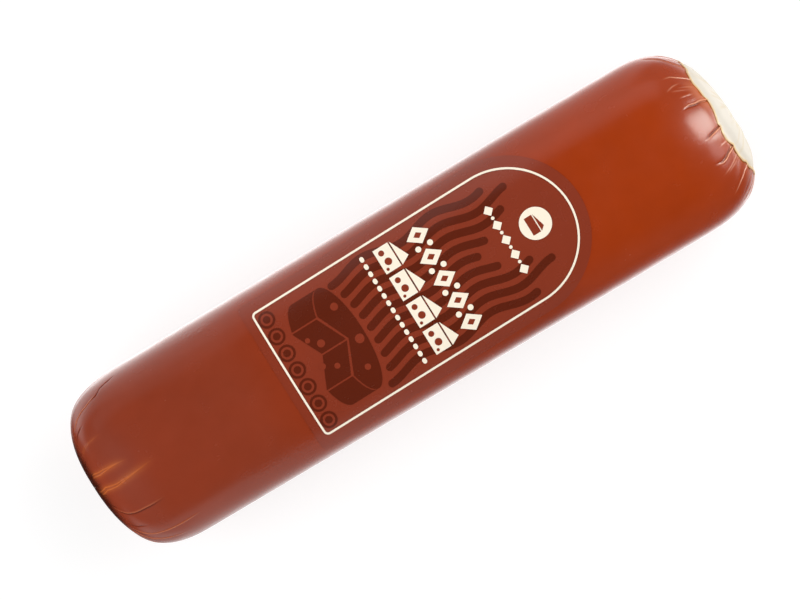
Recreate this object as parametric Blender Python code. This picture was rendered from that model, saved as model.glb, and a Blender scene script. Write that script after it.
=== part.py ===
"""A smoked gouda log in its brown casing, lying on its side with the label up.

The log lies along X. The casing is gathered shut at the -X end and open at the +X end, where the
pale cheese shows. The origin is on the surface that the log rests on, below its middle. All
lengths are in metres, and a turn is an angle about the log's axis, from the top towards -Y.
"""

import math
import random

import bmesh
import bpy
from mathutils import Vector

MM = 0.001

# The log
LOG_LENGTH = 370 * MM
LOG_RADIUS = 47.2 * MM
SWELL = 0.5 * MM  # the log is this much thicker near +X and thinner near -X
AXIS_HEIGHT = 45.6 * MM  # less than the radius, so that the resting side is pressed flat
CAP_LENGTH = 45 * MM
LEAN = 0.04  # slope of the end faces, which aren't quite square to the axis
CAP_POWER_ALONG = 3.1  # the ends are superellipses: a flat face and a soft corner
CAP_POWER_ACROSS = 2.6
COLUMNS = 60

# The layers
CASING_WALL = 0.6 * MM
CASING_GAP = 0.3 * MM
RIM_RADIUS = 33 * MM
SCALLOP = 1.3 * MM
LEFT, RIGHT = -1, 1

# Creases where the casing is gathered, as turns in degrees. The unseen ones are spread by a rule.
SEEN_CREASES = {LEFT: (-60, -48, -30, -6, 6, 30, 54), RIGHT: (-42, -30, -18, 6, 24, 36, 54)}
CREASE_STEPS = (12, 18, 24)
CREASE_DEPTH = 1.1 * MM
CREASE_REACH = 32 * MM  # how far from the log's end a crease begins
CREASE_FULL = 14 * MM  # how far from the end it has its full depth

# The label, in plan: a straight-sided panel with a round top towards +X
LABEL_BASE = -77.5 * MM
LABEL_ARCH_CENTRE = 56.5 * MM
LABEL_HALF_WIDTH = 42 * MM
LABEL_CORNER = 3 * MM
LABEL_SLANT = math.radians(1.2)
LABEL_GAP = 0.3 * MM
LABEL_THICKNESS = 0.4 * MM
LABEL_COLUMNS = 16


def clear_scene():
    for obj in list(bpy.data.objects):
        bpy.data.objects.remove(obj, do_unlink=True)


def smooth_step(start, end, value):
    """0 at start, 1 at end, and a smooth rise between them."""
    share = min(1.0, max(0.0, (value - start) / (end - start)))
    return share * share * (3 - 2 * share)


def radius_at(x):
    return LOG_RADIUS + SWELL * math.sin(math.pi * x / LOG_LENGTH)


def all_creases(side):
    """(turn in degrees, share of full depth) for every crease of one end, right round."""
    draw = random.Random(side)
    seen = SEEN_CREASES[side]
    turns = list(seen)
    while turns[-1] + 2 * CREASE_STEPS[-1] < seen[0] + 360:
        turns.append(turns[-1] + draw.choice(CREASE_STEPS))
    return [(turn, draw.uniform(0.6, 1.0)) for turn in turns]


CREASES = {side: all_creases(side) for side in (LEFT, RIGHT)}


def crease_depth(side, x, radius, turn):
    """How deep the skin is drawn in there: a V one column wide along each crease."""
    from_end = LOG_LENGTH / 2 - abs(x)
    strength = smooth_step(CREASE_REACH, CREASE_FULL, from_end) * radius / LOG_RADIUS
    column = 360 / COLUMNS
    depth = 0.0
    for crease, share in CREASES[side]:
        away = abs((math.degrees(turn) - crease + 180) % 360 - 180)
        depth += CREASE_DEPTH * share * strength * max(0.0, 1 - away / column)
    return depth


def cover(side, radius):
    """1 below the casing, falling to 0 in the middle of the open end, where the cheese bulges."""
    return smooth_step(0.5 * RIM_RADIUS, 0.9 * RIM_RADIUS, radius) if side == RIGHT else 1.0


def place(x, radius, turn, lowest):
    """The point at that radius and turn, or on the flat where that would lie below it."""
    height = AXIS_HEIGHT + radius * math.cos(turn)
    return Vector((x, -radius * math.sin(turn), max(height, lowest)))


def cap_point(side, swing, turn, inset):
    """A point on a rounded end. The swing runs from 0 at the tip to a right angle at the body."""
    along = CAP_LENGTH * math.cos(swing) ** (2 / CAP_POWER_ALONG)
    x = side * (LOG_LENGTH / 2 - CAP_LENGTH + along)
    full = radius_at(x)
    radius = full * math.sin(swing) ** (2 / CAP_POWER_ACROSS)
    normal_along = CAP_POWER_ALONG / CAP_LENGTH * (along / CAP_LENGTH) ** (CAP_POWER_ALONG - 1)
    normal_across = CAP_POWER_ACROSS / full * (radius / full) ** (CAP_POWER_ACROSS - 1)
    size = math.hypot(normal_along, normal_across)
    drawn_in = cover(side, radius) * (inset + crease_depth(side, x, radius, turn))
    x -= side * drawn_in * normal_along / size
    radius = max(0.0, radius - drawn_in * normal_across / size)
    x += LEAN * along / CAP_LENGTH * radius * math.sin(turn)
    return place(x, radius, turn, inset)


def body_point(x, turn, inset):
    return place(x, radius_at(x) - inset, turn, inset)


def rim_swing(turn):
    """Where the open end of the casing stops: further in between two creases, less at each."""
    away = min(abs((math.degrees(turn) - crease + 180) % 360 - 180) for crease, _ in CREASES[RIGHT])
    radius = RIM_RADIUS + SCALLOP * (1 - 2 * smooth_step(0, CREASE_STEPS[0], away))
    return math.asin((radius / radius_at(LOG_LENGTH / 2)) ** (CAP_POWER_ACROSS / 2))


def swings(count, first, last):
    """Even steps of swing from first to last, both included."""
    return [first + (last - first) * step / (count - 1) for step in range(count)]


def turns():
    return [2 * math.pi * column / COLUMNS for column in range(COLUMNS)]


def add_ring(bm, point_at):
    return [bm.verts.new(point_at(turn)) for turn in turns()]


def bridge(bm, rings):
    for lower, upper in zip(rings, rings[1:]):
        for column in range(COLUMNS):
            after = (column + 1) % COLUMNS
            bm.faces.new((lower[column], lower[after], upper[after], upper[column]))


def close_tip(bm, tip, ring):
    for column in range(COLUMNS):
        bm.faces.new((tip, ring[column], ring[(column + 1) % COLUMNS]))


def new_object(name, bm, material):
    mesh = bpy.data.meshes.new(name)
    bm.to_mesh(mesh)
    bm.free()
    mesh.materials.append(material)
    mesh.shade_smooth()
    mesh.set_sharp_from_angle(angle=math.radians(40))
    obj = bpy.data.objects.new(name, mesh)
    bpy.context.scene.collection.objects.link(obj)
    return obj


def new_material(name, colour, roughness):
    material = bpy.data.materials.new(name)
    material.use_nodes = True
    shader = material.node_tree.nodes["Principled BSDF"]
    shader.inputs["Base Color"].default_value = (*colour, 1.0)
    shader.inputs["Roughness"].default_value = roughness
    shader.inputs["Metallic"].default_value = 0.0
    return material


def log_rings(bm, inset, right_swings):
    """The rings of a log drawn in by inset, from next to the left tip to the last right swing."""
    tip_swing, edge = math.radians(5), math.pi / 2
    body = (LOG_LENGTH / 2 - CAP_LENGTH) * 0.5
    rings = [
        add_ring(bm, lambda turn, swing=swing: cap_point(LEFT, swing, turn, inset))
        for swing in swings(11, tip_swing, edge)
    ]
    rings += [
        add_ring(bm, lambda turn, x=x: body_point(x, turn, inset)) for x in (-body, 0.0, body)
    ]
    rings += [
        add_ring(bm, lambda turn, at=at: cap_point(RIGHT, at(turn), turn, inset))
        for at in right_swings
    ]
    return rings


def build_cheese():
    """The pale cheese, which fills the casing and shows as a dome at the open end."""
    inset = CASING_WALL + CASING_GAP
    bm = bmesh.new()
    steps = swings(12, math.pi / 2, math.radians(5))
    rings = log_rings(bm, inset, [lambda turn, swing=swing: swing for swing in steps])
    bridge(bm, rings)
    close_tip(bm, bm.verts.new(cap_point(LEFT, 0.0, 0.0, inset)), rings[0][::-1])
    close_tip(bm, bm.verts.new(cap_point(RIGHT, 0.0, 0.0, inset)), rings[-1])
    return new_object("cheese", bm, new_material("cheese", (0.90, 0.82, 0.62), 0.5))


def build_casing():
    """The brown casing: one skin, gathered shut on the left and ending in a scalloped rim."""
    bm = bmesh.new()
    shares = swings(9, 0.0, 1.0)
    edge = math.pi / 2
    rings = log_rings(
        bm, 0.0, [lambda turn, part=part: edge + (rim_swing(turn) - edge) * part for part in shares]
    )
    bridge(bm, rings)
    close_tip(bm, bm.verts.new(cap_point(LEFT, 0.0, 0.0, 0.0)), rings[0][::-1])
    casing = new_object("casing", bm, new_material("casing", (0.33, 0.045, 0.010), 0.3))
    wall = casing.modifiers.new("wall", "SOLIDIFY")
    wall.thickness = CASING_WALL
    wall.offset = -1
    return casing


def label_rows():
    """(place along the label, half width there), from its base to just short of the arch top."""
    corner_steps, arch_steps, straight_steps = 3, 9, 5
    rows = []
    for swing in swings(corner_steps, 0.0, math.pi / 2):
        back = LABEL_CORNER * (1 - math.sin(swing))
        rows.append((LABEL_BASE + LABEL_CORNER * (1 - math.cos(swing)), LABEL_HALF_WIDTH - back))
    first = LABEL_BASE + LABEL_CORNER
    for along in swings(straight_steps + 1, first, LABEL_ARCH_CENTRE)[1:]:
        rows.append((along, LABEL_HALF_WIDTH))
    for swing in swings(arch_steps + 1, 0.0, math.pi / 2)[1:-1]:
        along = LABEL_ARCH_CENTRE + LABEL_HALF_WIDTH * math.sin(swing)
        rows.append((along, LABEL_HALF_WIDTH * math.cos(swing)))
    return rows


def label_point(along, across):
    """The point of the log's skin below that place of the slanted label, raised by the gap."""
    x = along * math.cos(LABEL_SLANT) - across * math.sin(LABEL_SLANT)
    y = along * math.sin(LABEL_SLANT) + across * math.cos(LABEL_SLANT)
    radius = radius_at(x)
    turn = -math.asin(y / radius)
    return place(x, radius + LABEL_GAP, turn, 0.0)


def build_label():
    """The printed label, a thin skin bent round the top of the log."""
    bm = bmesh.new()
    rows = []
    for along, half in label_rows():
        reach = math.asin(half / LOG_RADIUS)
        across = [LOG_RADIUS * math.sin(turn) for turn in swings(LABEL_COLUMNS + 1, -reach, reach)]
        rows.append([bm.verts.new(label_point(along, y)) for y in across])
    for lower, upper in zip(rows, rows[1:]):
        for column in range(LABEL_COLUMNS):
            bm.faces.new((lower[column], upper[column], upper[column + 1], lower[column + 1]))
    top = bm.verts.new(label_point(LABEL_ARCH_CENTRE + LABEL_HALF_WIDTH, 0.0))
    for column in range(LABEL_COLUMNS):
        bm.faces.new((rows[-1][column], top, rows[-1][column + 1]))
    label = new_object("label", bm, new_material("label", (0.258, 0.041, 0.018), 0.35))
    thickness = label.modifiers.new("thickness", "SOLIDIFY")
    thickness.thickness = LABEL_THICKNESS
    thickness.offset = 1
    return label


clear_scene()
build_cheese()
build_casing()
build_label()
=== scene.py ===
"""Looks of a smoked gouda log: creased casing, pale open end, printed arch-topped label, studio.

The log lies along X, with its closed end at -X and its open, pale end at +X. Places on its skin
are given as (back, turn): back is the distance along the skin from the tip of the nearer end, and
turn is the angle about the log's axis from the top towards -Y. Lengths are in metres.
"""

import logging
import math
import random
from collections.abc import Callable
from dataclasses import dataclass
from enum import Enum

import bpy
import numpy as np
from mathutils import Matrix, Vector


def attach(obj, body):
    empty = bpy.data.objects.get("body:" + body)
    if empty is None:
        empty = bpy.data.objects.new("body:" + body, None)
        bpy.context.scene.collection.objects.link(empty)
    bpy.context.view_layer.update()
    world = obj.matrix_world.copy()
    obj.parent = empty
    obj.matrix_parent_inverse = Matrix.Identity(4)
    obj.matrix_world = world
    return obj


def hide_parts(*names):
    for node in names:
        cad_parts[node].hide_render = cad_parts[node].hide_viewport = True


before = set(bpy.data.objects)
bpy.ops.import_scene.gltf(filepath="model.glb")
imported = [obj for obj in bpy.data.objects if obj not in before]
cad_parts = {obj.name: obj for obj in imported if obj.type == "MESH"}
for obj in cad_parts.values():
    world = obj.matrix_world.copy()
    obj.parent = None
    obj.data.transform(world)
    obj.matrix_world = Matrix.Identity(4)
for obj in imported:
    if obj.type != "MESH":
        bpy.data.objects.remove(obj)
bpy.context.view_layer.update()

LOG = logging.getLogger("gouda_log")
MM = 0.001
Outline = list[tuple[float, float]]
Colour = tuple[float, float, float]
Feed = bpy.types.NodeSocket | Colour | float


def smooth_step(start: float, end: float, value: np.ndarray | float) -> np.ndarray:
    """A smooth rise from 0 at start to 1 at end.

    Args:
        start: The value at which the result is 0.
        end: The value at which the result is 1. It may be the smaller one.
        value: One number or an array of them.

    Returns:
        The share of the rise at each value.
    """
    share = np.clip((value - start) / (end - start), 0.0, 1.0)
    return share * share * (3.0 - 2.0 * share)


def srgb(red: int, green: int, blue: int) -> Colour:
    """The linear colour of a display colour.

    Args:
        red: Red, from 0 to 255.
        green: Green, from 0 to 255.
        blue: Blue, from 0 to 255.

    Returns:
        The three channels in linear light, from 0 to 1.
    """
    return tuple(
        part / 12.92 if part <= 0.04045 else ((part + 0.055) / 1.055) ** 2.4
        for part in (red / 255, green / 255, blue / 255)
    )


class Bench:
    """The modelling operators, with the object and the selection set before each one."""

    @staticmethod
    def clear_selection() -> None:
        """Leaves nothing selected, in object mode."""
        if bpy.context.object and bpy.context.object.mode != "OBJECT":
            bpy.ops.object.mode_set(mode="OBJECT")
        bpy.ops.object.select_all(action="DESELECT")

    @staticmethod
    def take(obj: bpy.types.Object) -> None:
        """Makes one object the selected and active one.

        Args:
            obj: The object.
        """
        Bench.clear_selection()
        obj.select_set(True)
        bpy.context.view_layer.objects.active = obj

    @staticmethod
    def edit(obj: bpy.types.Object, kind: str = "VERT") -> None:
        """Opens an object in edit mode, selecting by VERT, EDGE or FACE.

        Args:
            obj: The object.
            kind: What is selected there.
        """
        Bench.take(obj)
        bpy.context.tool_settings.mesh_select_mode = [kind == k for k in ("VERT", "EDGE", "FACE")]
        bpy.ops.object.mode_set(mode="EDIT")

    @staticmethod
    def leave() -> None:
        """Goes back to object mode."""
        bpy.ops.object.mode_set(mode="OBJECT")

    @staticmethod
    def settle(obj: bpy.types.Object) -> None:
        """Puts the object's place, turn and scale into its mesh."""
        Bench.take(obj)
        bpy.ops.object.transform_apply(location=True, rotation=True, scale=True)

    @staticmethod
    def apply(obj: bpy.types.Object, name: str) -> None:
        """Applies the modifier of that name."""
        Bench.take(obj)
        bpy.ops.object.modifier_apply(modifier=name)

    @staticmethod
    def coordinates(mesh: bpy.types.Mesh) -> np.ndarray:
        """The mesh's vertices as rows of x, y, z.

        Args:
            mesh: The mesh.

        Returns:
            One row for each vertex.
        """
        flat = np.empty(len(mesh.vertices) * 3)
        mesh.vertices.foreach_get("co", flat)
        return flat.reshape(-1, 3)

    @staticmethod
    def move(mesh: bpy.types.Mesh, points: np.ndarray) -> None:
        """Gives the mesh's vertices new places."""
        mesh.vertices.foreach_set("co", np.ascontiguousarray(points).ravel())
        mesh.update()

    @staticmethod
    def select_faces(mesh: bpy.types.Mesh, chosen: np.ndarray) -> None:
        """Selects only the faces marked in a mask.

        Args:
            mesh: The mesh.
            chosen: True for each face to select.
        """
        mesh.vertices.foreach_set("select", np.zeros(len(mesh.vertices), dtype=bool))
        mesh.edges.foreach_set("select", np.zeros(len(mesh.edges), dtype=bool))
        mesh.polygons.foreach_set("select", chosen.astype(bool))

    @staticmethod
    def select_edges(mesh: bpy.types.Mesh, chosen: np.ndarray) -> None:
        """Selects only the edges marked in a mask, with their vertices.

        Args:
            mesh: The mesh.
            chosen: True for each edge to select.
        """
        ends = np.zeros(len(mesh.vertices), dtype=bool)
        ends[Bench.edge_ends(mesh)[chosen.astype(bool)].ravel()] = True
        mesh.polygons.foreach_set("select", np.zeros(len(mesh.polygons), dtype=bool))
        mesh.edges.foreach_set("select", chosen.astype(bool))
        mesh.vertices.foreach_set("select", ends)

    @staticmethod
    def edge_ends(mesh: bpy.types.Mesh) -> np.ndarray:
        """The numbers of every edge's two vertices, a row for each edge.

        Args:
            mesh: The mesh.

        Returns:
            One row of two numbers for each edge.
        """
        pairs = np.empty(len(mesh.edges) * 2, dtype=np.int32)
        mesh.edges.foreach_get("vertices", pairs)
        return pairs.reshape(-1, 2)

    @staticmethod
    def open_edges(mesh: bpy.types.Mesh) -> np.ndarray:
        """A mask of the edges that only one face uses.

        Args:
            mesh: The mesh.

        Returns:
            True for each edge of a hole.
        """
        uses = np.zeros(len(mesh.edges), dtype=np.int32)
        used = np.empty(len(mesh.loops), dtype=np.int32)
        mesh.loops.foreach_get("edge_index", used)
        np.add.at(uses, used, 1)
        return uses == 1

    @staticmethod
    def face_outwards(obj: bpy.types.Object) -> None:
        """Turns the normals of a closed object outwards.

        Args:
            obj: The object.
        """
        Bench.edit(obj, "FACE")
        bpy.ops.mesh.select_all(action="SELECT")
        bpy.ops.mesh.normals_make_consistent(inside=False)
        Bench.leave()

    @staticmethod
    def face_centres(mesh: bpy.types.Mesh) -> np.ndarray:
        """The middle of every face, as rows of x, y, z.

        Args:
            mesh: The mesh.

        Returns:
            One row of x, y, z for each face.
        """
        flat = np.empty(len(mesh.polygons) * 3)
        mesh.polygons.foreach_get("center", flat)
        return flat.reshape(-1, 3)

    @staticmethod
    def note(mesh: bpy.types.Mesh, name: str, values: np.ndarray) -> None:
        """Keeps one number per vertex as a named attribute, for a material to read."""
        attribute = mesh.attributes.get(name) or mesh.attributes.new(name, "FLOAT", "POINT")
        attribute.data.foreach_set("value", values.astype(np.float32))


class LogEnd(Enum):
    """The log's two ends, by their sign along X."""

    CLOSED = -1
    OPEN = 1


@dataclass
class LogSkin:
    """The log's smooth outer form, before folds: a soft-cornered cylinder, pressed flat below."""

    length: float = 370 * MM
    radius: float = 47.1 * MM
    swell: float = 0.5 * MM
    axis_height: float = 45.6 * MM
    cap_length: float = 45 * MM
    power_along: float = 3.1
    power_across: float = 2.6
    lean: tuple[float, float] = (0.036, 0.06)
    closed_pull: float = 1.1 * MM
    wave_height: float = 0.11 * MM
    wave_count: int = 9
    seed: int = 5

    def __post_init__(self) -> None:
        """Works out the cap's curve and the slow waves of the skin."""
        swing = np.linspace(0.0, math.pi / 2, 3001)
        self.table_along = self.cap_length * np.cos(swing) ** (2 / self.power_along)
        self.table_across = np.sin(swing) ** (2 / self.power_across)
        self.table_along[-1] = 0.0
        steps = np.hypot(np.diff(self.table_along), np.diff(self.table_across) * self.radius)
        self.table_back = np.concatenate(([0.0], np.cumsum(steps)))
        self.table_angle = np.arctan2(self.table_across, self.table_along / self.cap_length)
        self.cap_back = float(self.table_back[-1])
        draw = random.Random(self.seed)
        self.waves = [
            (
                draw.uniform(0.3, 1.0) * self.wave_height / math.sqrt(self.wave_count),
                draw.uniform(-1.0, 1.0) * 2 * math.pi / (70 * MM),
                draw.choice((1, 2, 3, 4)),
                draw.uniform(0, 2 * math.pi),
            )
            for _ in range(self.wave_count)
        ]

    def radius_at(self, x: np.ndarray, turn: np.ndarray) -> np.ndarray:
        """The body's radius at each x and turn, slow waves included.

        Args:
            x: Place along the log.
            turn: Turn in radians.

        Returns:
            The radius at each point.
        """
        radius = self.radius + self.swell * np.sin(math.pi * x / self.length)
        for height, along, around, phase in self.waves:
            radius = radius + height * np.sin(along * x + around * turn + phase)
        return radius

    def point(
        self, side: np.ndarray, back: np.ndarray, turn: np.ndarray, height: np.ndarray | float
    ) -> np.ndarray:
        """Points at some height over the skin, before the log leans and is pressed flat.

        Args:
            side: The sign of each point's end along X.
            back: Distance along the skin from the tip.
            turn: Angle about the axis, in radians.
            height: Height over the skin, along its normal.

        Returns:
            One row of x, y, z for each point.
        """
        on_cap = back < self.cap_back
        along = np.where(
            on_cap, np.interp(back, self.table_back, self.table_along), self.cap_back - back
        )
        share = np.where(on_cap, np.interp(back, self.table_back, self.table_across), 1.0)
        x = side * (self.length / 2 - self.cap_length + along)
        full = self.radius_at(x, turn)
        run = np.clip(along / self.cap_length, 0.0, 1.0)
        normal_along = self.power_along / self.cap_length * run ** (self.power_along - 1)
        normal_across = self.power_across / full * share ** (self.power_across - 1)
        size = np.hypot(normal_along, normal_across)
        radius = np.maximum(0.0, full * share + height * normal_across / size)
        x = x + side * height * normal_along / size
        return np.stack(
            (x, -radius * np.sin(turn), self.axis_height + radius * np.cos(turn)), axis=-1
        )

    def locate(self, points: np.ndarray) -> tuple[np.ndarray, np.ndarray, np.ndarray]:
        """Where points of the smooth skin are on it.

        Args:
            points: One row of x, y, z for each point.

        Returns:
            The side, the distance back from the tip and the turn of each point.
        """
        x, y, z = points[:, 0], points[:, 1], points[:, 2] - self.axis_height
        side = np.where(x < 0, -1.0, 1.0)
        turn = np.arctan2(-y, z)
        along = np.abs(x) - (self.length / 2 - self.cap_length)
        share = np.hypot(y, z) / self.radius_at(x, turn)
        angle = np.arctan2(share, np.maximum(along, 0.0) / self.cap_length)
        back = np.where(
            along > 0, np.interp(angle, self.table_angle, self.table_back), self.cap_back - along
        )
        return side, back, turn

    def settle(self, points: np.ndarray) -> np.ndarray:
        """Leans the end faces a little and presses the underside flat on the floor.

        Args:
            points: One row of x, y, z for each point.

        Returns:
            The points' new places.
        """
        placed = points.copy()
        along = np.abs(points[:, 0]) - (self.length / 2 - self.cap_length)
        run = np.clip(along / self.cap_length, 0.0, 1.0)
        closed = points[:, 0] < 0
        placed[:, 0] -= np.where(closed, self.lean[0], self.lean[1]) * run * points[:, 1]
        placed[:, 0] += np.where(closed, self.closed_pull, 0.0) * smooth_step(0.7, 0.97, run)
        soft = 0.3 * MM
        placed[:, 2] = 0.5 * (points[:, 2] + np.sqrt(points[:, 2] ** 2 + soft**2))
        return placed

    def height_over(self, x: np.ndarray, y: np.ndarray, lift: float) -> np.ndarray:
        """The height of a skin raised by lift, above each place of the log's upper side.

        Args:
            x: Place along the log.
            y: Place across it.
            lift: How far over the skin.

        Returns:
            The height over the floor.
        """
        turn = np.arcsin(np.clip(-y / self.radius, -1.0, 1.0))
        radius = self.radius_at(x, turn) + lift
        return self.axis_height + np.sqrt(np.maximum(radius**2 - y**2, 0.0))


class FoldForm(Enum):
    """How the gathered skin stands along a crease."""

    RIDGE = "ridge"
    TUCK = "tuck"
    GROOVE = "groove"
    PINCH = "pinch"


@dataclass(frozen=True)
class Fold:
    """One crease, along a path of (millimetres back, degrees of turn), from the tip outwards."""

    end: LogEnd
    path: tuple[tuple[float, float], ...]
    form: FoldForm = FoldForm.RIDGE
    height: float = 0.35 * MM
    width: float = 0.42 * MM
    shade_side: int = 1
    valley: float = 0.3 * MM
    free: bool = False

    def across(
        self, side: np.ndarray, back: np.ndarray, turn: np.ndarray, radius: np.ndarray
    ) -> tuple[np.ndarray, np.ndarray, np.ndarray]:
        """Where points are beside the crease.

        Args:
            side: The sign of each point's end.
            back: Distance back from the tip.
            turn: Turn in radians.
            radius: Distance from the axis.

        Returns:
            The distance towards higher turns, the crease's strength there from 0 to 1, and half
            the space between the two lines of a pinch.
        """
        backs = np.array([place for place, _ in self.path]) * MM
        turns = np.radians([angle for _, angle in self.path])
        away = turn - np.interp(back, backs, turns)
        away = (away + math.pi) % (2 * math.pi) - math.pi
        share = (back - backs[0]) / (backs[-1] - backs[0])
        strength = smooth_step(1.0, 0.66, share)
        if self.end is LogEnd.CLOSED:
            strength = strength * smooth_step(0.0, 0.25, share)
        if self.free:
            strength = strength * smooth_step(0.0, 0.5, share)
        gap = 1.7 * self.width * smooth_step(0.85, 0.3, share)
        return radius * away, np.where(side == self.end.value, strength, 0.0), gap

    def line(self, away: np.ndarray, centre: np.ndarray | float = 0.0) -> np.ndarray:
        """A soft line of the crease's width, 1 on its centre."""
        return np.exp(-(((away - centre) / self.width) ** 2))

    def profile(
        self, away: np.ndarray, strength: np.ndarray, gap: np.ndarray
    ) -> tuple[np.ndarray, np.ndarray, np.ndarray]:
        """The crease's form and looks across its path.

        Args:
            away: Signed distance from the crease.
            strength: Its strength there, from 0 to 1.
            gap: Half the space between the lines of a pinch.

        Returns:
            The height over the smooth skin; how much painted highlight and glow the crease gets;
            and how much painted shade it gets, where the skin is also doubled, both from 0 to 1.
        """
        # The glint is painted highlight and glow along the crease; the shadow is painted shade
        # beside it.
        line, none = self.line(away), np.zeros_like(away)
        if self.form is FoldForm.RIDGE:
            lift, painted_glint, shadow = self.height * line, line, none
        elif self.form is FoldForm.GROOVE:
            lift, painted_glint, shadow = -self.height * line, none, line
        elif self.form is FoldForm.TUCK:
            lift = self.height * (line - 1.2 * self.line(away, self.shade_side * 1.9 * self.width))
            painted_glint, shadow = line, self.line(away, self.shade_side * 2.0 * self.width)
        else:
            pair = np.maximum(self.line(away, gap), self.line(away, -gap))
            haze = 0.5 * np.exp(-((away / (4.2 * self.width)) ** 2))
            lift, shadow = self.height * (pair - 0.3 * line), none
            painted_glint = np.maximum(pair, haze)
        broad = -self.valley * np.exp(-np.abs(away) / (3.2 * MM))
        return strength * (lift + broad), strength * painted_glint, strength * shadow


def shown_folds() -> list[Fold]:
    """The creases that show from above, placed as on the real log.

    Returns:
        The folds of both ends.
    """
    opened, closed = LogEnd.OPEN, LogEnd.CLOSED
    ridge, tuck, groove, pinch = FoldForm.RIDGE, FoldForm.TUCK, FoldForm.GROOVE, FoldForm.PINCH
    return [
        Fold(
            opened,
            ((33, -56), (41.7, -62.2), (48.5, -70.3), (58, -76)),
            tuck,
            height=0.3 * MM,
            shade_side=-1,
        ),
        Fold(opened, ((30, -39), (37, -39.8), (45.4, -41.5), (49, -42.9), (54, -42)), ridge),
        Fold(opened, ((45, -36), (51, -33.9), (56, -30.6)), ridge, 0.15 * MM, valley=0, free=True),
        Fold(opened, ((37, -31), (50, -31.6)), ridge, 0.09 * MM, valley=0, free=True),
        Fold(opened, ((42, -28), (54, -30.4)), ridge, 0.1 * MM, valley=0, free=True),
        Fold(opened, ((41, -25), (52, -23.8)), ridge, 0.11 * MM, valley=0, free=True),
        Fold(
            opened,
            ((30, -17.7), (41, -17.9), (45, -17), (49, -17.2), (54, -16)),
            tuck,
            height=0.42 * MM,
            valley=0.45 * MM,
        ),
        Fold(
            opened,
            ((30, 6), (38, 7), (42, 7.5), (47, 8.4), (53, 9.6)),
            tuck,
            height=0.34 * MM,
            shade_side=-1,
            valley=0.4 * MM,
        ),
        Fold(opened, ((36, 18.5), (48, 18)), ridge, 0.13 * MM, valley=0, free=True),
        Fold(
            opened,
            ((30, 25.5), (37, 25.9), (44, 26.9), (47, 28.3), (50, 28.3), (55, 26)),
            tuck,
            height=0.5 * MM,
            width=0.48 * MM,
            shade_side=-1,
            valley=0.5 * MM,
        ),
        Fold(opened, ((30, 32), (39, 32.6), (47, 35.2), (54, 36)), ridge, height=0.22 * MM),
        Fold(opened, ((30, 35.5), (39, 35.8), (52, 37.4)), ridge, height=0.12 * MM, valley=0),
        Fold(
            opened, ((30, 51.5), (35, 51.4), (41, 50.1), (47, 52), (54, 56)), ridge, height=0.4 * MM
        ),
        Fold(closed, ((34, -57), (40, -58.3), (47, -59), (51, -58.6), (60, -61)), ridge),
        Fold(closed, ((26, -50.5), (34, -50), (39, -49.3), (46, -47)), groove, valley=0.1 * MM),
        Fold(closed, ((54, -58), (59, -59.7), (62, -63.9), (72, -68)), groove, valley=0.1 * MM),
        Fold(
            closed,
            ((30, -34.5), (38, -33.3), (45, -31.2), (52, -29.8)),
            pinch,
            height=0.08 * MM,
            width=0.32 * MM,
            valley=0.1 * MM,
        ),
        Fold(
            closed,
            ((24, -12.2), (28, -10.9), (36, -7.7), (43, -7.3), (51, -6.3), (58, -5)),
            pinch,
            height=0.26 * MM,
            width=0.45 * MM,
        ),
        Fold(
            closed,
            ((18, 12.5), (24, 10.6), (34, 6.3), (44, 6.6), (51, 5.3), (60, 4), (70, 2.5)),
            pinch,
            height=0.3 * MM,
            width=0.5 * MM,
        ),
        Fold(
            closed,
            ((26, 29), (31, 31.1), (38, 32.3), (44, 31.3), (50, 29.6), (57, 28.3), (64, 27)),
            tuck,
            height=0.2 * MM,
        ),
        Fold(closed, ((24, 49), (29, 51.3), (34, 52.3), (42, 47.5), (48, 45)), groove),
        Fold(
            closed,
            ((30, 58.5), (40, 58.5), (46, 58), (51, 56.4), (57, 54.9), (67, 53.2), (76, 52)),
            ridge,
            height=0.4 * MM,
        ),
    ]


def hidden_folds(seed: int = 11) -> list[Fold]:
    """Creases of the same kinds right round the sides and underside, spaced like those above.

    Args:
        seed: The start of the random draws.

    Returns:
        The folds of both ends, from 70 degrees of turn on either side and below.
    """
    draw = random.Random(seed)
    folds = []
    for end, first, last in ((LogEnd.OPEN, 64, 300), (LogEnd.CLOSED, 68, 290)):
        turn = float(first)
        while turn < last:
            near = 30 if end is LogEnd.OPEN else draw.uniform(20, 30)
            far = draw.uniform(46, 56) if end is LogEnd.OPEN else draw.uniform(50, 72)
            sway = draw.uniform(-1.5, 1.5)
            path = (
                (near, turn + sway),
                (0.5 * (near + far), turn - 0.5 * sway),
                (far, turn + draw.uniform(-3, 3)),
            )
            form = draw.choice((FoldForm.RIDGE, FoldForm.RIDGE, FoldForm.TUCK, FoldForm.GROOVE))
            folds.append(
                Fold(
                    end,
                    path,
                    form,
                    height=draw.uniform(0.15, 0.4) * MM,
                    shade_side=draw.choice((-1, 1)),
                    valley=draw.uniform(0.1, 0.4) * MM,
                )
            )
            turn += draw.uniform(8, 17)
    return folds


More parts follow.
